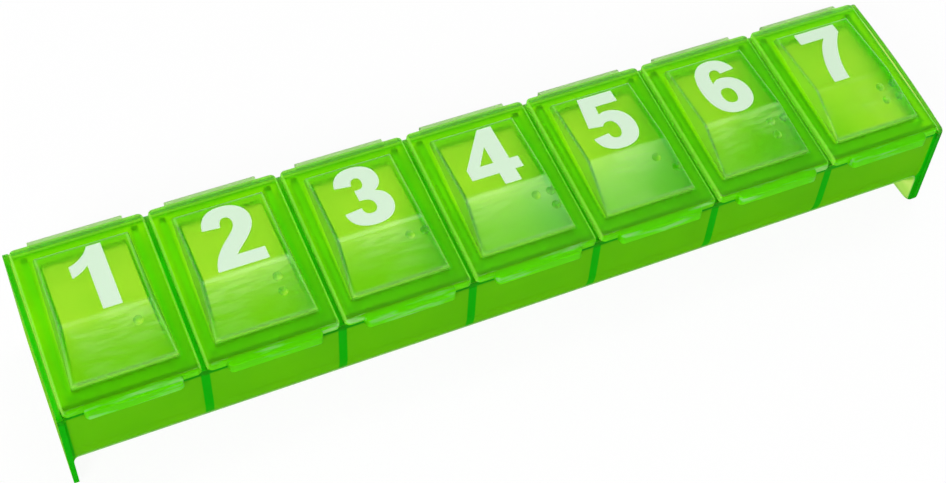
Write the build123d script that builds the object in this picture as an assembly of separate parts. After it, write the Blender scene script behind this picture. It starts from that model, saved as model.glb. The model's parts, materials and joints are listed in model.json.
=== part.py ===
from build123d import *
import os
from math import asin, atan2, cos, degrees, sin

# A weekly pill organizer: a scooped tray with a row of compartments, each under
# its own lid on a thin flexible hinge. Millimetres. X runs along the row, Y from
# the front to the hinges, Z up from the surface that the end panels stand on.

# Tray
cell_count = 7
cell_pitch = 21.5
tray_depth = 28.6
front_rim = 18.8
rim_rise = 3.2
wall = 1.2
floor = 1.2
floor_lift = 1.6
scoop_radius = 7.2
divider = 1.2

# End panels, which are also the feet
end_panel = 0.8
end_overhang = 0.55
end_drop = 0.75
end_crown = 0.6
end_top_radius = 0.8
foot_radius = 2.4
belly_fillet = 0.9

# Lids: a sloping flange with a raised reading panel and a plug rim below
lid_gap = 0.75
lid_end_clearance = 0.125
lid_front_overhang = 0.5
lid_back_overhang = 0.15
seat_gap = 0.1
flange = 1.2
lid_corner = 0.9
flange_edge = 0.5
bevel_run = 1.2
bevel_drop = 0.35
panel_inset = 2.3
panel_draft = 0.9
panel_front = 2.8
panel_back = 3.2
ridge_setback = 12.2
ridge_radius = 6.0
front_step = 0.4
back_step = 0.81
panel_edge = 0.35
panel_wall = 1.0
plug_gap = 1.1
plug_back_gap = 0.25
plug_wall = 1.0
plug_depth = 1.8

# Thumb tab, a lip over the front wall
tab_width = 14.7
tab_reach = 1.6
tab_drop = 0.6
tab_gap = 0.3
tab_corner = 0.8
tab_edge = 0.35

# Raised braille digits on the panel's front slope
dot_width = 1.5
dot_height = 0.45
dot_sink = 0.2
dot_pitch = 2.5
braille_across = 4.05
braille_down = 3.0
braille_digits = [(1,), (1, 2), (1, 4), (1, 4, 5), (1, 5), (1, 2, 4), (1, 2, 4, 5)]
braille_rows = 3

# Hinge strips
hinge_width = 14.7
hinge_skin = 0.35
hinge_bore = 0.35
hinge_setback = 0.65

# Cuts run past the faces that they open by this much
overrun = 1.0

# Worked out from the sizes above
hinge_reach = hinge_setback + hinge_bore + hinge_skin
overall_depth = tab_reach + tray_depth + hinge_reach
front_y = tab_reach - overall_depth / 2
back_y = front_y + tray_depth
row_length = cell_count * cell_pitch
lid_width = cell_pitch - lid_gap
end_face = row_length / 2 - lid_gap / 2 + lid_end_clearance
scoop_outside = scoop_radius + wall


def rim(y):
    """Height of the tray's sloping rim at a depth."""
    return front_rim + rim_rise * (y - front_y) / tray_depth


def seat(y):
    """Height of the lid's underside at a depth."""
    return rim(y) + seat_gap


def lid_top(y):
    """Height of the lid flange's upper side at a depth."""
    return seat(y) + flange


def cell_x(index):
    """Middle of a compartment along the row."""
    return (index + 0.5) * cell_pitch - row_length / 2


def across(face, width):
    """A side outline in Y and Z, made solid across X."""
    return extrude(Plane.YZ * face, width / 2, both=True)


def outline(*points):
    """A closed outline with straight sides."""
    return make_face(Polyline(*points, close=True))


def trough(front, back, bottom, radius, top):
    """A side outline with a rounded belly and a sloping top, lifted above the rim by top."""
    face = outline((front, bottom), (back, bottom), (back, rim(back) + top), (front, rim(front) + top))
    return fillet(face.vertices().sort_by(Axis.Y)[:2], radius)


def end_top(y):
    """Height of the straight line between an end panel's upper corners, at a depth."""
    return lid_top(y) - end_drop


def end_panel_face():
    """Side outline of an end panel: flat foot, round corners and a gently crowned top."""
    front = front_y - end_overhang
    back = back_y + end_overhang
    middle = (front + back) / 2
    crown = ThreePointArc(
        (back, end_top(back)), (middle, end_top(middle) + end_crown), (front, end_top(front))
    )
    sides = Polyline((front, end_top(front)), (front, 0), (back, 0), (back, end_top(back)))
    corners = make_face(sides + crown).vertices().sort_by(Axis.Y)
    feet_rounded = fillet(corners[:2], foot_radius)
    return fillet(feet_rounded.vertices().sort_by(Axis.Y)[-2:], end_top_radius)


def make_tray():
    """The tray: a trough with end panels, hollowed into compartments."""
    body = across(trough(front_y, back_y, floor_lift, scoop_outside, 0), 2 * end_face)
    margin = end_overhang + 2 * belly_fillet
    low = floor_lift - margin
    high = end_top(back_y) + end_crown + margin
    blank = outline(
        (front_y - margin, low), (back_y + margin, low), (back_y + margin, high), (front_y - margin, high)
    )
    for side in (-1, 1):
        body += Pos(side * (end_face + end_panel / 2), 0, 0) * across(blank, end_panel)
    roots = []
    for edge in body.edges():
        box = edge.bounding_box()
        at_panel = abs(abs(edge.center().X) - end_face) < end_panel / 2 and box.size.X < end_panel
        on_trough = box.min.Y > front_y - margin / 2 and box.max.Y < back_y + margin / 2
        if at_panel and on_trough and floor_lift - margin / 2 < edge.center().Z < front_rim:
            roots.append(edge)
    body = fillet(roots, belly_fillet) & across(end_panel_face(), 2 * (end_face + end_panel))
    hollow = trough(front_y + wall, back_y - wall, floor_lift + floor, scoop_radius, overrun)
    ends = [-end_face] + [cell_x(index) + cell_pitch / 2 for index in range(cell_count - 1)] + [end_face]
    for index in range(cell_count):
        left = ends[index] + (divider / 2 if index > 0 else 0)
        right = ends[index + 1] - (divider / 2 if index < cell_count - 1 else 0)
        body -= Pos((left + right) / 2, 0, 0) * across(hollow, right - left)
    return body


# Places on the lid
panel_front_y = front_y + panel_front
panel_back_y = back_y - panel_back
ridge_y = front_y + ridge_setback
panel_top = lid_top(panel_back_y) + back_step
panel_lip = lid_top(panel_front_y) + front_step
panel_half = lid_width / 2 - panel_inset
slope_angle = atan2(panel_top - panel_lip, ridge_y - panel_front_y)


def panel_solid(inset, bottom):
    """The raised panel, drawn in on every side by inset, down to bottom below the lid's top."""
    front = panel_front_y + inset
    back = panel_back_y - inset
    top = panel_top - inset
    side = outline(
        (front, lid_top(front) - bottom),
        (front, panel_lip - inset),
        (ridge_y, top),
        (back, top),
        (back, lid_top(back) - bottom),
    )
    ridge = side.vertices().sort_by_distance((ridge_y, top))[0]
    side = fillet(ridge, ridge_radius)
    base = lid_top(panel_front_y)
    half = panel_half - inset
    end_view = outline(
        (-half, base - bottom),
        (half, base - bottom),
        (half, base),
        (half - panel_draft, panel_top),
        (panel_draft - half, panel_top),
        (-half, base),
    )
    return across(side, lid_width) & extrude(Plane.XZ * end_view, tray_depth, both=True)


def soften_panel(panel):
    """Rounds the panel's upper edges."""
    edges = []
    for edge in panel.edges():
        above = all(point.Z > lid_top(point.Y) for point in edge.vertices())
        spans = edge.bounding_box().size.X > panel_half
        ridge_line = spans and panel_front_y < edge.center().Y - panel_edge
        ridge_line = ridge_line and edge.center().Y + panel_edge < panel_back_y
        if above and not ridge_line:
            edges.append(edge)
    return fillet(edges, panel_edge)


def make_flange():
    """The lid's sloping border plate, with round corners and a bevelled back edge."""
    front = front_y - lid_front_overhang
    back = back_y + lid_back_overhang
    side = outline((front, seat(front)), (back, seat(back)), (back, lid_top(back)), (front, lid_top(front)))
    plan = Pos(0, (front + back) / 2, 0) * RectangleRounded(lid_width, back - front, lid_corner)
    plate = across(side, lid_width) & extrude(plan, lid_top(back) + overrun)
    upper = max(plate.faces(), key=lambda face: face.normal_at().Z)
    plate = fillet(upper.edges(), flange_edge)
    bevel_y = back - bevel_run
    past_y = back + bevel_run
    bevel = outline(
        (bevel_y, lid_top(bevel_y)),
        (past_y, lid_top(past_y) - 2 * bevel_drop),
        (past_y, lid_top(past_y) + overrun),
        (bevel_y, lid_top(bevel_y) + overrun),
    )
    return plate - across(bevel, cell_pitch)


def make_tab():
    """The thumb tab: a lip that hangs over the front wall's edge."""
    tip = front_y - tab_reach
    root = front_y + flange
    side = outline(
        (tip, front_rim - tab_drop),
        (front_y - tab_gap, front_rim - tab_drop),
        (front_y - tab_gap, seat(front_y)),
        (root, seat(root)),
        (root, lid_top(root)),
        (tip, lid_top(tip)),
    )
    length = tab_reach + flange
    plan = Pos(0, (tip + root) / 2, 0) * Rectangle(tab_width, length)
    plan = fillet(plan.vertices().sort_by(Axis.Y)[:2], tab_corner)
    tab = across(side, tab_width) & extrude(plan, lid_top(root))
    brow = tab.edges().filter_by(Axis.X).sort_by_distance((0, tip, lid_top(tip)))[0]
    return fillet(brow, tab_edge)


def make_plug():
    """The plug rim that drops into the compartment under the lid, open towards the hinge."""
    front = front_y + wall + plug_gap
    back = back_y - wall - plug_back_gap
    width = cell_pitch - divider - 2 * plug_gap
    middle = flange / 2
    outer = outline(
        (front, seat(front) + middle),
        (front, seat(front) - plug_depth),
        (back, seat(back) - plug_depth),
        (back, seat(back) + middle),
    )
    front += plug_wall
    back += overrun
    inner = outline(
        (front, seat(front)),
        (front, seat(front) - plug_depth - overrun),
        (back, seat(back) - plug_depth - overrun),
        (back, seat(back)),
    )
    return across(outer, width) - across(inner, width - 2 * plug_wall)


def make_dot(number):
    """One braille dot, numbered down the left column and then the right."""
    column, row = divmod(number - 1, braille_rows)
    ball = (dot_width ** 2 / 4 + dot_height ** 2) / (2 * dot_height)
    low = ball - dot_height - dot_sink
    along = braille_down + row * dot_pitch
    y = ridge_y - along * cos(slope_angle)
    z = panel_top - along * sin(slope_angle)
    place = Pos(braille_across + column * dot_pitch, y, z) * Rot(degrees(slope_angle), 0, 0)
    cap = Sphere(ball, arc_size1=degrees(asin(low / ball)), align=None)
    return place * Pos(0, 0, dot_height - ball) * cap


def make_lid(digit):
    """A lid with its braille digit, over the middle of the row."""
    lid = make_flange() + soften_panel(panel_solid(0, flange / 2)) + make_plug() + make_tab()
    lid -= panel_solid(panel_wall, flange + overrun)
    for number in digit:
        lid += make_dot(number)
    return lid


hinge_y = back_y + hinge_setback
hinge_z = rim(back_y) + seat_gap / 2


def make_hinge():
    """A thin strip from the tray's back wall round to the lid's back edge."""
    outside = hinge_bore + hinge_skin
    bore = ThreePointArc(
        (hinge_y, hinge_z + hinge_bore), (hinge_y + hinge_bore, hinge_z), (hinge_y, hinge_z - hinge_bore)
    )
    skin = ThreePointArc(
        (hinge_y, hinge_z - outside), (hinge_y + outside, hinge_z), (hinge_y, hinge_z + outside)
    )
    low_arm = Polyline(
        (hinge_y, hinge_z - hinge_bore),
        (back_y, hinge_z - hinge_bore),
        (back_y, hinge_z - outside),
        (hinge_y, hinge_z - outside),
    )
    lid_back = back_y + lid_back_overhang
    high_arm = Polyline(
        (hinge_y, hinge_z + outside),
        (lid_back, hinge_z + outside),
        (lid_back, hinge_z + hinge_bore),
        (hinge_y, hinge_z + hinge_bore),
    )
    return across(make_face(bore + low_arm + skin + high_arm), hinge_width)


os.makedirs("parts", exist_ok=True)
export_step(make_tray(), "parts/tray.step")
hinge = make_hinge()
for index in range(cell_count):
    place = Pos(cell_x(index), 0, 0)
    export_step(place * make_lid(braille_digits[index]), f"parts/lid_{index + 1}.step")
    export_step(place * hinge, f"parts/hinge_{index + 1}.step")
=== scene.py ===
import json
import math

import bmesh
import bpy
from bpy.props import FloatProperty, FloatVectorProperty, IntProperty, PointerProperty
from bpy.types import Operator, Panel, PropertyGroup
from mathutils import Matrix, Vector


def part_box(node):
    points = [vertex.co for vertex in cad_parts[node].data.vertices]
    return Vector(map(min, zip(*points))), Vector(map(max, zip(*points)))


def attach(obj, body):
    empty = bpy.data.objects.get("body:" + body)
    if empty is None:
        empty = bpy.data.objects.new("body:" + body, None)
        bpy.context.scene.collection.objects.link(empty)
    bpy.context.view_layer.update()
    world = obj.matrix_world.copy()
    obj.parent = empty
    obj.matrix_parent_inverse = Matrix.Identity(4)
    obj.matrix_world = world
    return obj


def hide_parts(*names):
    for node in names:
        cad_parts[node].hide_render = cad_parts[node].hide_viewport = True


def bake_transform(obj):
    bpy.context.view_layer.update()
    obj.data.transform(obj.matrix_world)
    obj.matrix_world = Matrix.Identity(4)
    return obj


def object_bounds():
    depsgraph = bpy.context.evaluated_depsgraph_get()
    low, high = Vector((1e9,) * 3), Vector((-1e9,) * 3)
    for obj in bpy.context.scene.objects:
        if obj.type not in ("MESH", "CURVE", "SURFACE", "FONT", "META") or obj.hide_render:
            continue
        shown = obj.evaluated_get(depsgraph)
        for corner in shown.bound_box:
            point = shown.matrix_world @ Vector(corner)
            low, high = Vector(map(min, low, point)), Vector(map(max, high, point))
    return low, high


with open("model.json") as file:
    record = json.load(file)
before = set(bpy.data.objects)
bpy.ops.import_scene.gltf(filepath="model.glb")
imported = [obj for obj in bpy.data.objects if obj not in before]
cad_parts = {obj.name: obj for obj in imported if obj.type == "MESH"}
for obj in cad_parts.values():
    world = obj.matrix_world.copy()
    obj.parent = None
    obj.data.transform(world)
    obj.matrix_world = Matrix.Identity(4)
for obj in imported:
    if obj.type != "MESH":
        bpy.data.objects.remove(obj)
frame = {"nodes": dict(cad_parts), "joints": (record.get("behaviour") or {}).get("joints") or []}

bl_info = {
    "name": "Weekly Pill Organizer",
    "version": (1, 0, 0),
    "blender": (4, 5, 0),
    "location": "View3D > Sidebar > Pill Organizer",
    "description": "Moulded finishes, hinge strips, printed digits and a stage for a pill organizer",
    "category": "Object",
}

MM = 0.001
WHITE = (1.0, 1.0, 1.0, 1.0)
CAD_LOW, CAD_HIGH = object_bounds()
AXES = {joint["child"]: Vector(joint["pos_m"]) for joint in frame["joints"]}
LIDS = sorted(AXES)
PITCH = AXES[LIDS[1]].x - AXES[LIDS[0]].x

# Outlines of the printed digits, in hundredths of their height. A pair is a corner that a straight
# line reaches; six numbers are two handles and the point that a curve reaches.
DIGITS = {
    "1": [[
        (54, 0), (54, 100), (36, 100), (32, 89, 20, 79, 8, 76), (8, 57), (17, 60, 25, 65, 30, 71), (30, 0),
    ]],
    "2": [[
        (2, 0), (68, 0), (68, 19), (33, 19), (38, 27, 51, 37, 58, 47), (64, 55, 67, 63, 67, 71),
        (67, 89, 54, 100, 35, 100), (17, 100, 5, 90, 3, 69), (26, 67), (27, 77, 30, 81, 35, 81),
        (40, 81, 43, 77, 43, 71), (43, 64, 40, 59, 30, 49), (14, 33, 4, 19, 2, 0),
    ]],
    "3": [[
        (4, 73), (6, 90, 17, 100, 35, 100), (53, 100, 64, 90, 64, 74), (64, 64, 59, 57, 52, 53),
        (62, 50, 68, 42, 68, 30), (68, 11, 54, 0, 35, 0), (15, 0, 3, 10, 2, 28), (25, 31),
        (26, 22, 29, 19, 35, 19), (41, 19, 45, 23, 45, 30), (45, 38, 40, 43, 31, 43), (27, 43), (27, 61),
        (31, 61), (38, 61, 41, 65, 41, 71), (41, 78, 39, 81, 35, 81), (30, 81, 27, 78, 26, 70),
    ]],
    "4": [
        [
            (40, 0), (63, 0), (63, 20), (75, 20), (75, 39), (63, 39), (63, 100), (43, 100), (2, 39), (2, 20),
            (40, 20),
        ],
        [(40, 39), (21, 39), (40, 69)],
    ],
    "5": [[
        (12, 100), (63, 100), (63, 80), (30, 80), (28, 65), (31, 67, 35, 68, 39, 68),
        (56, 68, 68, 55, 68, 35), (68, 13, 54, 0, 34, 0), (15, 0, 4, 10, 2, 27), (25, 30),
        (26, 22, 29, 19, 34, 19), (40, 19, 44, 25, 44, 34), (44, 45, 40, 50, 34, 50),
        (29, 50, 26, 48, 24, 44), (4, 47),
    ]],
    "6": [
        [
            (66, 75), (63, 91, 53, 100, 37, 100), (15, 100, 2, 81, 2, 48), (2, 17, 15, 0, 36, 0),
            (55, 0, 68, 13, 68, 33), (68, 52, 56, 65, 39, 65), (33, 65, 28, 62, 25, 58),
            (25, 75, 29, 82, 37, 82), (41, 82, 43, 79, 44, 73),
        ],
        [
            (46, 32), (46, 41, 42, 46, 36, 46), (29, 46, 25, 41, 25, 32), (25, 24, 29, 18, 36, 18),
            (42, 18, 46, 24, 46, 32),
        ],
    ],
    "7": [[
        (4, 100), (68, 100), (68, 84), (52, 66, 36, 34, 34, 0), (10, 0), (12, 32, 24, 62, 41, 80), (4, 80),
    ]],
}
DIGIT_UNITS = 100


class PlasticSettings(PropertyGroup):
    """Looks of the translucent mouldings."""

    body: FloatVectorProperty(
        name="Body Tint", description="Tint that light takes at the plastic's surfaces",
        subtype="COLOR", size=3, min=0.0, max=1.0, default=(0.99, 1.0, 0.72),
    )
    # Painted shade: the front wall's darker olive stands for the shaded floor under the box seen through it.
    wall: FloatVectorProperty(
        name="Wall Tint", description="Tint of the tray's hazy front wall",
        subtype="COLOR", size=3, min=0.0, max=1.0, default=(0.12, 0.46, 0.0),
    )
    # Painted shade, not light piped along the edges: darker green on the divider fronts and end-panel edges
    # seen through the front wall, and painted shadow on the wall's top band under the lids' front edges.
    edge: FloatVectorProperty(
        name="Edge Tint", description="Tint of the tray's edges that light is piped to",
        subtype="COLOR", size=3, min=0.0, max=1.0, default=(0.0, 0.40, 0.0),
    )
    foot: FloatVectorProperty(
        name="Foot Tint", description="Tint of the end panels' feet",
        subtype="COLOR", size=3, min=0.0, max=1.0, default=(0.6, 0.85, 0.4),
    )
    lip: FloatVectorProperty(
        name="Lip Tint", description="Tint of the lids' front edges and thumb tabs",
        subtype="COLOR", size=3, min=0.0, max=1.0, default=(0.20, 0.92, 0.0),
    )
    # Painted shade: the lids' border is a deeper green than the panel, for light's longer way through the
    # flange and the tray walls beneath it.
    border: FloatVectorProperty(
        name="Border Tint", description="Tint of the lids' borders round the reading panels",
        subtype="COLOR", size=3, min=0.0, max=1.0, default=(0.55, 1.0, 0.0),
    )
    # Painted highlight: the lids' side and back rims, panel creases and back bevel line are lit up in this
    # tint and made milky.
    glow: FloatVectorProperty(
        name="Glow Tint", description="Tint of the lids' bright edges and creases",
        subtype="COLOR", size=3, min=0.0, max=1.0, default=(0.42, 1.0, 0.08),
    )
    # Scuffs and painted sheen: the slope below the ridge is whiter towards the ridge, where its highlight
    # fades down the slope, and streaked and patchy like scuffs.
    scuff_and_sheen: FloatVectorProperty(
        name="Worn Tint", description="Tint of the rubbed slopes below the lids' ridges",
        subtype="COLOR", size=3, min=0.0, max=1.0, default=(0.80, 1.0, 0.40),
    )
    frost: FloatVectorProperty(
        name="Frost Tint", description="Tint of scuffs and hinge strips, where the plastic is whitened",
        subtype="COLOR", size=3, min=0.0, max=1.0, default=(0.75, 0.97, 0.60),
    )
    drift: FloatVectorProperty(
        name="Drift Tint", description="Tint of the faint clouds in the plastic",
        subtype="COLOR", size=3, min=0.0, max=1.0, default=(0.6, 0.95, 0.3),
    )
    gloss: FloatVectorProperty(
        name="Gloss Tint", description="Colour of the plastic's own reflections",
        subtype="COLOR", size=3, min=0.0, max=1.0, default=(0.10, 0.60, 0.0),
    )
    depth_tint: FloatVectorProperty(
        name="Depth Tint", description="Colour that is left of light after a long way through the plastic",
        subtype="COLOR", size=3, min=0.0, max=1.0, default=(0.75, 0.997, 0.0),
    )
    depth: FloatProperty(
        name="Depth Density", description="How fast the plastic takes up light, per metre",
        default=1100.0, min=0.0,
    )
    haze: FloatProperty(
        name="Haze", description="Roughness of the plastic's surface",
        subtype="FACTOR", default=0.42, min=0.0, max=1.0,
    )


class HingeSettings(PropertyGroup):
    """Living hinges."""

    skin: FloatProperty(
        name="Skin", description="Thickness of a hinge strip",
        unit="LENGTH", default=0.35 * MM, min=0.05 * MM,
    )
    steps: IntProperty(name="Steps", description="Facets round the bend of a strip", default=18, min=6)


class PrintSettings(PropertyGroup):
    """Printed digits on the lids."""

    height: FloatProperty(
        name="Digit Height", description="Height of a printed digit", unit="LENGTH", default=12.2 * MM,
    )
    setback: FloatProperty(
        name="Setback", description="From the hinge axis forward to the middle of the digit",
        unit="LENGTH", default=10.62 * MM,
    )
    thickness: FloatProperty(
        name="Thickness", description="Thickness of the ink, half of it above the lid's face",
        unit="LENGTH", default=0.03 * MM,
    )
    ink: FloatVectorProperty(
        name="Ink", description="Colour of the print",
        subtype="COLOR", size=3, min=0.0, max=1.0, default=(0.65, 0.83, 0.64),
    )
    thin_ink: FloatVectorProperty(
        name="Thin Ink", description="Colour of specks where the lid shows through the print",
        subtype="COLOR", size=3, min=0.0, max=1.0, default=(0.60, 0.80, 0.55),
    )


class StageSettings(PropertyGroup):
    """Floor, light and camera."""

    lens: FloatProperty(name="Lens", description="Focal length in millimetres", default=61.19)
    camera_place: FloatVectorProperty(
        name="Camera Place", description="Where the camera stands", subtype="TRANSLATION", size=3,
        default=(-79.61 * MM, -147.95 * MM, 214.93 * MM),
    )
    camera_turn: FloatVectorProperty(
        name="Camera Turn", description="Turn of the camera", subtype="EULER", size=3,
        default=(math.radians(38.874), math.radians(-2.4895), math.radians(-23.966)),
    )
    paper: FloatVectorProperty(
        name="Paper", description="Colour of the floor under the lamps",
        subtype="COLOR", size=3, min=0.0, max=1.0, default=(0.95, 0.95, 0.95),
    )
    sky: FloatVectorProperty(
        name="Sky", description="Light from high above",
        subtype="COLOR", size=3, min=0.0, max=1.0, default=(0.4, 0.4, 0.4),
    )
    roof: FloatVectorProperty(
        name="Roof", description="Colour that shiny surfaces see high above, between the lamps",
        subtype="COLOR", size=3, min=0.0, max=1.0, default=(0.05, 0.45, 0.0),
    )
    # Painted shadow: the green the floor shows under the box and beside it.
    cast: FloatVectorProperty(
        name="Cast", description="Colour of the light that the plastic throws on the floor",
        subtype="COLOR", size=3, min=0.0, max=1.0, default=(0.36, 0.66, 0.02),
    )
    floor_glow: FloatProperty(
        name="Floor Glow", description="Share of the floor that the camera sees as plain white",
        subtype="FACTOR", default=0.93, min=0.0, max=1.0,
    )


class Graph:
    """Short way to place and join shader nodes."""

    def __init__(self, tree):
        self.tree = tree

    def add(self, kind, inputs=None, **settings):
        """Adds a node, with values or sockets for its inputs."""
        node = self.tree.nodes.new(kind)
        for key, value in settings.items():
            setattr(node, key, value)
        for key, value in (inputs or {}).items():
            self.feed(node.inputs[key], value)
        return node

    def feed(self, socket, value):
        """Joins a socket to an input, or sets the input to a value."""
        if isinstance(value, bpy.types.NodeSocket):
            self.tree.links.new(value, socket)
        else:
            socket.default_value = value

    def math(self, operation, *values):
        """The result of a Math node."""
        node = self.add("ShaderNodeMath", operation=operation)
        for socket, value in zip(node.inputs, values):
            self.feed(socket, value)
        return node.outputs[0]

    def times(self, first, second):
        """The product of two values."""
        return self.math("MULTIPLY", first, second)

    def most(self, first, *others):
        """The largest of several values."""
        for other in others:
            first = self.math("MAXIMUM", first, other)
        return first

    def outside(self, share):
        """What a share leaves of 1."""
        return self.math("SUBTRACT", 1.0, share)

    def ramp(self, value, low, high, start=0.0, end=1.0):
        """A soft change from start to end while the value goes from low to high."""
        node = self.add(
            "ShaderNodeMapRange",
            {"Value": value, "From Min": low, "From Max": high, "To Min": start, "To Max": end},
            interpolation_type="SMOOTHSTEP",
        )
        return node.outputs["Result"]

    def rise(self, value, base, span):
        """0 below a span that is measured from a base, and 1 above it."""
        return self.ramp(value, base + span[0], base + span[1])

    def fall(self, value, base, span):
        """1 below a span that is measured from a base, and 0 above it."""
        return self.ramp(value, base + span[0], base + span[1], 1.0, 0.0)

    def ridge(self, value, middle, reach):
        """1 at the middle, falling to 0 at the given reach on both sides."""
        away = self.math("ABSOLUTE", self.math("SUBTRACT", value, middle))
        return self.ramp(away, 0.0, reach, 1.0, 0.0)

    def mix(self, share, first, second, blend="MIX"):
        """A colour between two others."""
        node = self.add("ShaderNodeMix", data_type="RGBA", blend_type=blend)
        self.feed(node.inputs[0], share)
        self.feed(node.inputs[6], first)
        self.feed(node.inputs[7], second)
        return node.outputs[2]

    def noise(self, place, scale, detail=2.0, stretch=(1.0, 1.0, 1.0)):
        """Noise at a place, finer along the axes that are stretched more."""
        spread = self.add("ShaderNodeMapping", {"Vector": place, "Scale": stretch})
        node = self.add(
            "ShaderNodeTexNoise", {"Vector": spread.outputs[0], "Scale": scale, "Detail": detail},
        )
        return node.outputs["Fac"]

    def from_cell_middle(self, x):
        """How far a place along the row is from the middle of its compartment."""
        return self.math("ABSOLUTE", self.math("WRAP", x, PITCH / 2, -PITCH / 2))


def rgba(colour):
    """A colour setting with full cover."""
    return (*colour, 1.0)


def new_material(name):
    """A material, its graph and its shader."""
    material = bpy.data.materials.new(name)
    material.use_nodes = True
    return material, Graph(material.node_tree), material.node_tree.nodes["Principled BSDF"]


# The plastic's texture: noise scales per metre, and how far the noise reaches
NOISE_MIDDLE = (0.3, 0.7)
DRIFT_SCALE = 130.0
DRIFT_SHARE = 0.15
HAZE_DRIFT = 0.04
GRAIN_SCALE = 2600.0
GRAIN_STRENGTH = 0.3
FLOW_STRETCH = (90.0, 900.0, 900.0)
FLOW_STRENGTH = 0.5
BUMP_HEIGHT = 0.002 * MM
PLASTIC_IOR = 1.49
COAT_ROUGHNESS = 0.1


def moulded_plastic(name, look, paint):
    """Translucent plastic.

    paint(graph, x, y, z) gives its tint, clearness and coat from the place on the object.
    """
    material, graph, shader = new_material(name)
    place = graph.add("ShaderNodeTexCoord").outputs["Object"]
    axes = graph.add("ShaderNodeSeparateXYZ", {"Vector": place}).outputs
    tint, clear, coat = paint(graph, axes["X"], axes["Y"], axes["Z"])
    drift = graph.noise(place, DRIFT_SCALE)
    grain = graph.noise(place, GRAIN_SCALE)
    flow = graph.noise(place, 1.0, detail=3.0, stretch=FLOW_STRETCH)
    cloud = graph.ramp(drift, *NOISE_MIDDLE, 0.0, DRIFT_SHARE)
    haze = graph.ramp(drift, *NOISE_MIDDLE, look.haze - HAZE_DRIFT, look.haze + HAZE_DRIFT)
    graph.feed(shader.inputs["Base Color"], graph.mix(cloud, tint, rgba(look.drift), "MULTIPLY"))
    graph.feed(shader.inputs["Roughness"], haze)
    graph.feed(shader.inputs["Transmission Weight"], clear)
    graph.feed(shader.inputs["Coat Weight"], coat)
    shader.inputs["IOR"].default_value = PLASTIC_IOR
    shader.inputs["Specular IOR Level"].default_value = 0.0
    shader.inputs["Specular Tint"].default_value = rgba(look.gloss)
    shader.inputs["Coat Roughness"].default_value = COAT_ROUGHNESS
    waves = graph.add(
        "ShaderNodeBump", {"Height": flow, "Distance": BUMP_HEIGHT, "Strength": FLOW_STRENGTH},
    )
    pores = graph.add(
        "ShaderNodeBump",
        {"Height": grain, "Distance": BUMP_HEIGHT, "Strength": GRAIN_STRENGTH, "Normal": waves.outputs[0]},
    )
    graph.feed(shader.inputs["Normal"], pores.outputs[0])
    depth = graph.add(
        "ShaderNodeVolumeAbsorption", {"Color": rgba(look.depth_tint), "Density": look.depth},
    )
    graph.feed(material.node_tree.nodes["Material Output"].inputs["Volume"], depth.outputs[0])
    return material


def dress(node, material):
    """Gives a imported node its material."""
    mesh = frame["nodes"][node].data
    mesh.materials.clear()
    mesh.materials.append(material)


def keep(context, name, mesh, material):
    """Links a finished mesh as a piece."""
    mesh.name = name
    mesh.materials.clear()
    mesh.materials.append(material)
    piece = bpy.data.objects.new(name, mesh)
    context.scene.collection.objects.link(piece)
    return piece


# Where the tray's paint changes. Each span runs from a divider's middle, an end panel's outer face,
# the front of the tray or the floor. The front wall gets painted shade, darker at divider fronts and
# end-panel edges, and painted shadow on its top band under the lids.
DIVIDER_EDGE = (-0.8 * MM, -0.6 * MM)
END_PANEL = (-0.9 * MM, -0.7 * MM)
FRONT_WALL = (1.0 * MM, 1.4 * MM)
WALL_TOP = (18.6 * MM, 18.75 * MM)
RIM_SHADOW = (17.4 * MM, 17.7 * MM)
FOOT_TOP = (1.5 * MM, 3.0 * MM)
WALL_MILK = 0.65
TRAY_COAT = 0.04


class PILLBOX_OT_tray(Operator):
    """Gives the tray its moulded finish"""

    bl_idname = "pillbox.tray"
    bl_label = "Finish Tray"

    def execute(self, context):
        look = context.scene.pillbox_plastic
        low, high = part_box("tray")

        def paint(graph, x, y, z):
            # Painted shade at divider fronts and end-panel edges, and painted shadow on the front wall's top
            # band under the lids' front edges.
            divider = graph.rise(graph.from_cell_middle(x), PITCH / 2, DIVIDER_EDGE)
            end = graph.rise(graph.math("ABSOLUTE", x), high.x, END_PANEL)
            rim_shadow = graph.rise(z, 0.0, RIM_SHADOW)
            # Painted shade over the front wall.
            wall = graph.times(graph.fall(y, low.y, FRONT_WALL), graph.fall(z, 0.0, WALL_TOP))
            foot = graph.times(end, graph.fall(z, 0.0, FOOT_TOP))
            wall_shade_tint = graph.mix(graph.most(divider, rim_shadow, end), rgba(look.wall), rgba(look.edge))
            tint = graph.mix(foot, rgba(look.body), rgba(look.foot))
            tint = graph.mix(wall, tint, wall_shade_tint)
            milky = graph.times(wall, graph.outside(rim_shadow))
            return tint, graph.math("MULTIPLY_ADD", milky, -WALL_MILK, 1.0), TRAY_COAT

        dress("tray", moulded_plastic("tray_moulding", look, paint))
        return {"FINISHED"}


# Where the lids' paint changes. Spans and places above zero run from a lid's front edge, and those
# below zero from its back edge or side. The reading panel's side walls lean in by a draft, so they
# are found by the distance from the lid's middle with the height added at that draft. PANEL_SIDE and
# CROSS_CREASE_END run from those walls.
LIP = (1.3 * MM, 1.6 * MM)
PANEL_FRONT = (4.1 * MM, 4.9 * MM)
PANEL_BACK = (-3.6 * MM, -3.0 * MM)
PANEL_HALF = 8.075 * MM
PANEL_FOOT = 20.41 * MM
PANEL_DRAFT = 0.269
PANEL_WALL = PANEL_HALF + PANEL_FOOT * PANEL_DRAFT
PANEL_SIDE = (-0.3 * MM, 0.1 * MM)
LONG_CREASE_REACH = 0.5 * MM
FRONT_CREASE = 4.5 * MM
BACK_CREASE = -3.4 * MM
CROSS_CREASE_REACH = 0.6 * MM
CROSS_CREASE_END = (-0.2 * MM, 0.2 * MM)
BEVEL_LINE = -1.45 * MM
BEVEL_REACH = 0.45 * MM
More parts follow.
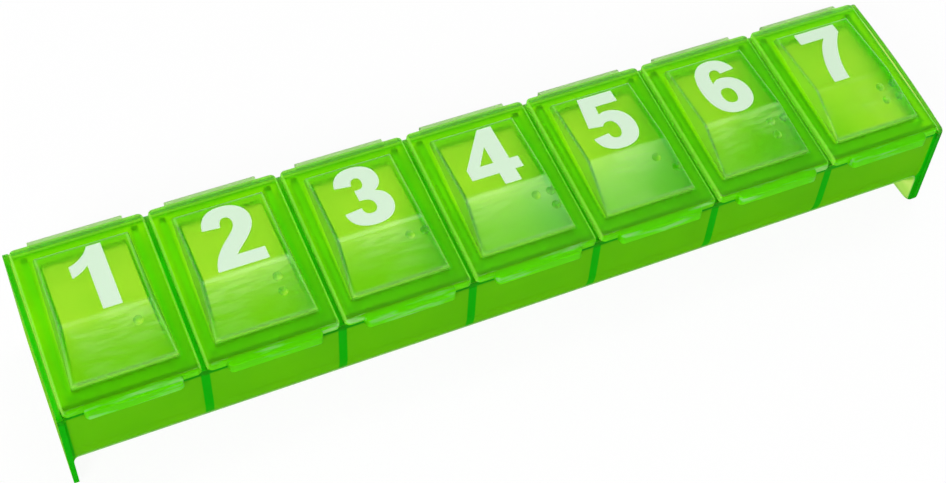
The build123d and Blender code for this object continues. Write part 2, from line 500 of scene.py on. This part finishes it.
SIDE_RIM = (-0.45 * MM, -0.25 * MM)
BACK_RIM = (-0.6 * MM, -0.3 * MM)
SLOPE_TOP = (13.4 * MM, 14.2 * MM)
SHEEN_RISE = (7.0 * MM, 13.2 * MM)

# How bright the painted highlights on the creases and the bevel line are beside those on the rims, and how
# much scuff and painted sheen the foot of a slope keeps beside its top
CREASE_HIGHLIGHT = 0.4
BEVEL_HIGHLIGHT = 0.7
SHEEN_LEAST = 0.25

# Noise of the scuffs on the lips, and of the streaks and patches on the slopes
SCUFF_STRETCH = (110.0, 900.0, 900.0)
SCUFF_SPAN = (0.52, 0.72)
SCUFF_SHARE = 0.7
STREAK_STRETCH = (240.0, 1300.0, 1300.0)
STREAK_SPAN = (0.36, 0.68)
STREAK_LEAST = 0.2
PATCH_SCALE = 90.0
PATCH_SPAN = (0.40, 0.62)

# How milky each zone of a lid is, and the gloss of its coat
BORDER_MILK = 0.06
SCUFF_AND_SHEEN_MILK = 0.20
HIGHLIGHT_MILK = 0.45
LIP_MILK = 0.33
LID_COAT = 0.5
LIP_COAT_LOSS = 0.4


class PILLBOX_OT_lids(Operator):
    """Gives the lids their moulded finish"""

    bl_idname = "pillbox.lids"
    bl_label = "Finish Lids"

    def execute(self, context):
        look = context.scene.pillbox_plastic
        low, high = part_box(LIDS[0])
        half = (high.x - low.x) / 2

        def paint(graph, x, y, z):
            across = graph.from_cell_middle(x)
            drawn = graph.math("MULTIPLY_ADD", z, PANEL_DRAFT, across)
            lip = graph.fall(y, low.y, LIP)
            ends = graph.most(graph.fall(y, low.y, PANEL_FRONT), graph.rise(y, high.y, PANEL_BACK))
            # Painted shade: the border gets a deeper green than the panel.
            border = graph.most(graph.rise(drawn, PANEL_WALL, PANEL_SIDE), ends)

            # Painted highlights along the panel's creases, the back bevel line and the side and back rims.
            long_crease = graph.times(
                graph.ridge(drawn, PANEL_WALL, LONG_CREASE_REACH), graph.outside(ends),
            )
            cross_crease = graph.most(
                graph.ridge(y, low.y + FRONT_CREASE, CROSS_CREASE_REACH),
                graph.ridge(y, high.y + BACK_CREASE, CROSS_CREASE_REACH),
            )
            cross_crease = graph.times(cross_crease, graph.fall(drawn, PANEL_WALL, CROSS_CREASE_END))
            bevel = graph.ridge(y, high.y + BEVEL_LINE, BEVEL_REACH)
            glow = graph.most(
                graph.rise(across, half, SIDE_RIM),
                graph.rise(y, high.y, BACK_RIM),
                graph.times(graph.most(long_crease, cross_crease), CREASE_HIGHLIGHT),
                graph.times(bevel, BEVEL_HIGHLIGHT),
            )

            place = graph.add("ShaderNodeCombineXYZ", {"X": x, "Y": y, "Z": z}).outputs[0]
            scuff = graph.noise(place, 1.0, detail=3.0, stretch=SCUFF_STRETCH)
            scuff = graph.ramp(scuff, *SCUFF_SPAN, 0.0, SCUFF_SHARE)
            patch = graph.ramp(graph.noise(place, PATCH_SCALE), *PATCH_SPAN)
            streak = graph.noise(place, 1.0, detail=4.0, stretch=STREAK_STRETCH)
            streak = graph.ramp(streak, *STREAK_SPAN, STREAK_LEAST, 1.0)
            slope = graph.times(graph.outside(border), graph.fall(y, low.y, SLOPE_TOP))
            # Painted sheen: whiter towards the ridge, fading down the slope; the streaks and patches are
            # scuffs.
            rising = graph.ramp(y, low.y + SHEEN_RISE[0], low.y + SHEEN_RISE[1], SHEEN_LEAST, 1.0)
            scuff_and_sheen = graph.times(graph.times(graph.times(slope, rising), patch), streak)

            tint = graph.mix(border, rgba(look.body), rgba(look.border))
            tint = graph.mix(scuff_and_sheen, tint, rgba(look.scuff_and_sheen))
            tint = graph.mix(glow, tint, rgba(look.glow))
            tint = graph.mix(lip, tint, graph.mix(scuff, rgba(look.lip), rgba(look.frost)))
            milky = graph.most(
                graph.times(border, BORDER_MILK),
                graph.times(scuff_and_sheen, SCUFF_AND_SHEEN_MILK),
                graph.times(glow, HIGHLIGHT_MILK),
                graph.times(lip, LIP_MILK),
            )
            return tint, graph.outside(milky), graph.math("MULTIPLY_ADD", lip, -LIP_COAT_LOSS, LID_COAT)

        material = moulded_plastic("lid_moulding", look, paint)
        for lid in LIDS:
            dress(lid, material)
        return {"FINISHED"}


# Corners that are nearer than this are merged, and edges that bend more than this stay sharp
MERGE_DISTANCE = 0.001 * MM
SHARP_ANGLE = math.radians(40)

# How clear the hinge strips are, and the gloss of their coat
HINGE_CLEAR = 0.7
HINGE_COAT = 0.1


def extrude_face(bm, face, way):
    """Pulls a face along a way, and gives the face at its far end."""
    pulled = bmesh.ops.extrude_face_region(bm, geom=[face])["geom"]
    corners = [item for item in pulled if isinstance(item, bmesh.types.BMVert)]
    bmesh.ops.translate(bm, verts=corners, vec=way)
    return next(item for item in pulled if isinstance(item, bmesh.types.BMFace))


def close_mesh(bm, mesh):
    """Merges doubled corners, turns the faces outwards and writes the mesh."""
    bmesh.ops.remove_doubles(bm, verts=bm.verts, dist=MERGE_DISTANCE)
    bmesh.ops.recalc_face_normals(bm, faces=bm.faces)
    bm.to_mesh(mesh)
    bm.free()


class PILLBOX_OT_hinges(Operator):
    """Makes the bent hinge strips"""

    bl_idname = "pillbox.hinges"
    bl_label = "Make Hinge Strips"

    def execute(self, context):
        scene = context.scene
        look = scene.pillbox_plastic
        skin = scene.pillbox_hinge.skin

        def paint(graph, x, y, z):
            return rgba(look.frost), HINGE_CLEAR, HINGE_COAT

        material = moulded_plastic("hinge_skin", look, paint)
        for lid in LIDS:
            number = lid.split("_")[1]
            node = f"hinge_{number}"
            low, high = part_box(node)
            axis = AXES[lid]
            bm = bmesh.new()
            corners = [
                bm.verts.new((x, low.y, z))
                for x, z in ((low.x, low.z), (high.x, low.z), (high.x, low.z + skin), (low.x, low.z + skin))
            ]
            root = bm.faces.new(corners)
            end = extrude_face(bm, root, Vector((0, axis.y - low.y, 0)))
            swept = bmesh.ops.spin(
                bm, geom=[end, *end.edges, *end.verts], cent=axis, axis=(1, 0, 0), angle=math.pi,
                steps=scene.pillbox_hinge.steps,
            )
            end = next(item for item in swept["geom_last"] if isinstance(item, bmesh.types.BMFace))
            extrude_face(bm, end, Vector((0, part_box(lid)[1].y - axis.y, 0)))
            inner = [face for face in bm.faces if all(len(edge.link_faces) > 2 for edge in face.edges)]
            bmesh.ops.delete(bm, geom=inner, context="FACES_ONLY")
            mesh = bpy.data.meshes.new(node)
            close_mesh(bm, mesh)
            mesh.shade_smooth()
            mesh.set_sharp_from_angle(angle=SHARP_ANGLE)
            strip = keep(context, f"hinge_strip_{number}", mesh, material)
            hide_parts(node)
            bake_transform(strip)
        return {"FINISHED"}


CURVE_STEPS = 10


def digit_mesh(context, number, height, thickness):
    """A flat printed digit of the given height, centred on the origin."""
    curve = bpy.data.curves.new(f"digit_{number}", "CURVE")
    curve.dimensions = "2D"
    curve.fill_mode = "BOTH"
    curve.resolution_u = CURVE_STEPS
    curve.extrude = thickness / height * DIGIT_UNITS / 2
    for loop in DIGITS[number]:
        spline = curve.splines.new("BEZIER")
        spline.use_cyclic_u = True
        spline.bezier_points.add(len(loop) - 1)
        for point, step in zip(spline.bezier_points, loop):
            point.handle_left_type = point.handle_right_type = "FREE"
            point.co = point.handle_left = point.handle_right = (*step[-2:], 0)
        for index, step in enumerate(loop):
            if len(step) == 6:
                spline.bezier_points[index - 1].handle_right = (*step[0:2], 0)
                spline.bezier_points[index].handle_left = (*step[2:4], 0)
    drawn = bpy.data.objects.new(f"digit_{number}", curve)
    context.scene.collection.objects.link(drawn)
    mesh = bpy.data.meshes.new_from_object(drawn.evaluated_get(context.evaluated_depsgraph_get()))
    bpy.data.objects.remove(drawn)
    bpy.data.curves.remove(curve)
    left = min(vertex.co.x for vertex in mesh.vertices)
    right = max(vertex.co.x for vertex in mesh.vertices)
    centred = Matrix.Translation((-(left + right) / 2, -DIGIT_UNITS / 2, 0))
    mesh.transform(Matrix.Scale(height / DIGIT_UNITS, 4) @ centred)
    bm = bmesh.new()
    bm.from_mesh(mesh)
    close_mesh(bm, mesh)
    return mesh


# Specks in the print
SPECK_SCALE = 3200.0
SPECK_SHARE = 0.12
INK_ROUGHNESS = (0.4, 0.55)
INK_BUMP = 0.003 * MM
INK_BUMP_STRENGTH = 0.3


class PILLBOX_OT_digits(Operator):
    """Prints a digit on each lid"""

    bl_idname = "pillbox.digits"
    bl_label = "Print Digits"

    def execute(self, context):
        look = context.scene.pillbox_print
        material, graph, shader = new_material("white_print")
        place = graph.add("ShaderNodeTexCoord").outputs["Object"]
        speck = graph.noise(place, SPECK_SCALE, detail=3.0)
        thin = graph.ramp(speck, *NOISE_MIDDLE, 0.0, SPECK_SHARE)
        graph.feed(shader.inputs["Base Color"], graph.mix(thin, rgba(look.ink), rgba(look.thin_ink)))
        graph.feed(shader.inputs["Roughness"], graph.ramp(speck, *NOISE_MIDDLE, *INK_ROUGHNESS))
        bump = graph.add(
            "ShaderNodeBump", {"Height": speck, "Distance": INK_BUMP, "Strength": INK_BUMP_STRENGTH},
        )
        graph.feed(shader.inputs["Normal"], bump.outputs[0])
        for lid in LIDS:
            number = lid.split("_")[1]
            mesh = digit_mesh(context, number, look.height, look.thickness)
            axis = AXES[lid]
            mesh.transform(Matrix.Translation((axis.x, axis.y - look.setback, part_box(lid)[1].z)))
            digit = keep(context, f"digit_{number}", mesh, material)
            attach(digit, lid)
        return {"FINISHED"}


LIGHT_BOUNCES = 24
FLOOR_HALF = 3.0
FLOOR_DROP = 0.02 * MM

# Painted green shadow on the floor, under the box and beside it, as its reach past the box and the width of
# its soft border
UNDER_SHADOW = (-2 * MM, 3 * MM)
NEAR_SHADOW = (22 * MM, 44 * MM)

# Height of the sky, as the sine of its angle, at which white passes into the light from above
SKY_SPAN = (0.42, 0.62)

# Name, place, width and depth, watts, and whether shiny surfaces show the lamp
LAMPS = (
    ("overhead", (0.13, 0.105, 0.60), (0.62, 0.21), 2.2, True),
    ("corner", (0.23, 0.02, 0.60), (0.16, 0.12), 0.24, True),
    ("fill", (-0.40, -0.45, 0.45), (0.4, 0.4), 10.0, False),
)
LAMP_FADE = 0.45
SENSOR_WIDTH = 36.0
CLIP_START = 10 * MM


def box_shadow(graph, reach, soft):
    """1 on the floor within reach of the box, fading to 0 over a soft border there."""
    place = graph.add("ShaderNodeTexCoord").outputs["Object"]
    axes = graph.add("ShaderNodeSeparateXYZ", {"Vector": place}).outputs
    border = (-soft / 2, soft / 2)
    along = graph.fall(graph.math("ABSOLUTE", axes["X"]), CAD_HIGH[0] + reach, border)
    deep = graph.fall(graph.math("ABSOLUTE", axes["Y"]), CAD_HIGH[1] + reach, border)
    return graph.times(along, deep)


def lay_floor(context, look):
    """White paper that shows a painted green shadow to rays through the plastic or off it."""
    bm = bmesh.new()
    bmesh.ops.create_grid(bm, x_segments=1, y_segments=1, size=FLOOR_HALF)
    bmesh.ops.translate(bm, verts=bm.verts, vec=(0, 0, CAD_LOW[2] - FLOOR_DROP))
    mesh = bpy.data.meshes.new("floor")
    bm.to_mesh(mesh)
    bm.free()
    material = bpy.data.materials.new("white_paper")
    material.use_nodes = True
    material.node_tree.nodes.clear()
    graph = Graph(material.node_tree)
    rays = graph.add("ShaderNodeLightPath").outputs
    through = rays["Is Transmission Ray"]
    shown = graph.most(through, rays["Is Glossy Ray"])
    seen = graph.math("MULTIPLY_ADD", rays["Is Camera Ray"], look.floor_glow, shown)
    # Painted shadow: green paper under the box for rays through the plastic, and beside it for rays off it.
    under = graph.times(box_shadow(graph, *UNDER_SHADOW), through)
    mirrored = graph.math("SUBTRACT", rays["Is Glossy Ray"], through)
    near = graph.times(box_shadow(graph, *NEAR_SHADOW), mirrored)
    shine = graph.mix(graph.most(under, near), WHITE, rgba(look.cast))
    paper = graph.add("ShaderNodeBsdfDiffuse", {"Color": rgba(look.paper)})
    glow = graph.add("ShaderNodeEmission", {"Color": shine})
    both = graph.add("ShaderNodeMixShader", {0: seen, 1: paper.outputs[0], 2: glow.outputs[0]})
    graph.add("ShaderNodeOutputMaterial", {"Surface": both.outputs[0]})
    keep(context, "floor", mesh, material)


def hang_sky(scene, look):
    """A white surround with softer light from above, and a green roof for shiny surfaces."""
    world = bpy.data.worlds.new("studio")
    scene.world = world
    world.use_nodes = True
    graph = Graph(world.node_tree)
    way = graph.add("ShaderNodeTexCoord").outputs["Generated"]
    height = graph.add("ShaderNodeSeparateXYZ", {"Vector": way}).outputs["Z"]
    rays = graph.add("ShaderNodeLightPath").outputs
    level = graph.times(graph.rise(height, 0.0, SKY_SPAN), graph.outside(rays["Is Transmission Ray"]))
    above = graph.mix(rays["Is Glossy Ray"], rgba(look.sky), rgba(look.roof))
    back = world.node_tree.nodes["Background"]
    graph.feed(back.inputs["Color"], graph.mix(level, WHITE, above))
    back.inputs["Strength"].default_value = 1.0


def hang_lamp(scene, name, place, size, power, mirrored):
    """A softbox that points at the origin, with its width along X and light that fades at its edges."""
    lamp = bpy.data.lights.new(name, "AREA")
    lamp.shape = "RECTANGLE"
    lamp.size, lamp.size_y = size
    lamp.energy = power
    lamp.use_nodes = True
    graph = Graph(lamp.node_tree)
    face = graph.add("ShaderNodeNewGeometry").outputs["Parametric"]
    spot = graph.add("ShaderNodeSeparateXYZ", {"Vector": face}).outputs
    fades = [graph.ramp(graph.math("PINGPONG", spot[axis], 0.5), 0.0, LAMP_FADE) for axis in ("X", "Y")]
    graph.feed(lamp.node_tree.nodes["Emission"].inputs["Strength"], graph.times(*fades))
    softbox = bpy.data.objects.new(name, lamp)
    softbox.visible_transmission = False
    softbox.visible_glossy = mirrored
    scene.collection.objects.link(softbox)
    back = Vector(place).normalized()
    side = (Vector((1, 0, 0)) - back * back.x).normalized()
    softbox.location = place
    softbox.rotation_euler = Matrix((side, back.cross(side), back)).transposed().to_euler()


def place_camera(scene, look):
    """The camera, as it stands in front of the box."""
    camera = bpy.data.objects.new("camera", bpy.data.cameras.new("camera"))
    camera.data.lens = look.lens
    camera.data.sensor_width = SENSOR_WIDTH
    camera.data.clip_start = CLIP_START
    scene.collection.objects.link(camera)
    camera.location = look.camera_place
    camera.rotation_euler = look.camera_turn
    scene.camera = camera


class PILLBOX_OT_stage(Operator):
    """Sets the floor, the light and the camera"""

    bl_idname = "pillbox.stage"
    bl_label = "Set Stage"

    def execute(self, context):
        scene = context.scene
        look = scene.pillbox_stage
        scene.view_settings.view_transform = "Standard"
        scene.cycles.max_bounces = LIGHT_BOUNCES
        scene.cycles.glossy_bounces = LIGHT_BOUNCES
        scene.cycles.transmission_bounces = LIGHT_BOUNCES
        lay_floor(context, look)
        hang_sky(scene, look)
        for lamp in LAMPS:
            hang_lamp(scene, *lamp)
        place_camera(scene, look)
        return {"FINISHED"}


class PILLBOX_PT_panel(Panel):
    """Lists the steps of the pill organizer"""

    bl_idname = "PILLBOX_PT_panel"
    bl_label = "Pill Organizer"
    bl_space_type = "VIEW_3D"
    bl_region_type = "UI"
    bl_category = "Pill Organizer"

    def draw(self, context):
        for operator in OPERATORS:
            self.layout.operator(operator.bl_idname)


SETTINGS = {
    "pillbox_plastic": PlasticSettings,
    "pillbox_hinge": HingeSettings,
    "pillbox_print": PrintSettings,
    "pillbox_stage": StageSettings,
}
OPERATORS = (
    PILLBOX_OT_tray, PILLBOX_OT_lids, PILLBOX_OT_hinges, PILLBOX_OT_digits, PILLBOX_OT_stage,
)


def register():
    """Adds the settings, the operators and the panel."""
    for kind in (*SETTINGS.values(), *OPERATORS, PILLBOX_PT_panel):
        bpy.utils.register_class(kind)
    for name, kind in SETTINGS.items():
        setattr(bpy.types.Scene, name, PointerProperty(type=kind))


def unregister():
    """Takes the settings, the operators and the panel away."""
    for name in SETTINGS:
        delattr(bpy.types.Scene, name)
    for kind in (PILLBOX_PT_panel, *reversed(OPERATORS), *reversed(SETTINGS.values())):
        bpy.utils.unregister_class(kind)


def main():
    """Finishes the pieces and sets the stage."""
    register()
    bpy.ops.pillbox.tray()
    bpy.ops.pillbox.lids()
    bpy.ops.pillbox.hinges()
    bpy.ops.pillbox.digits()
    bpy.ops.pillbox.stage()


if __name__ == "__main__":
    main()
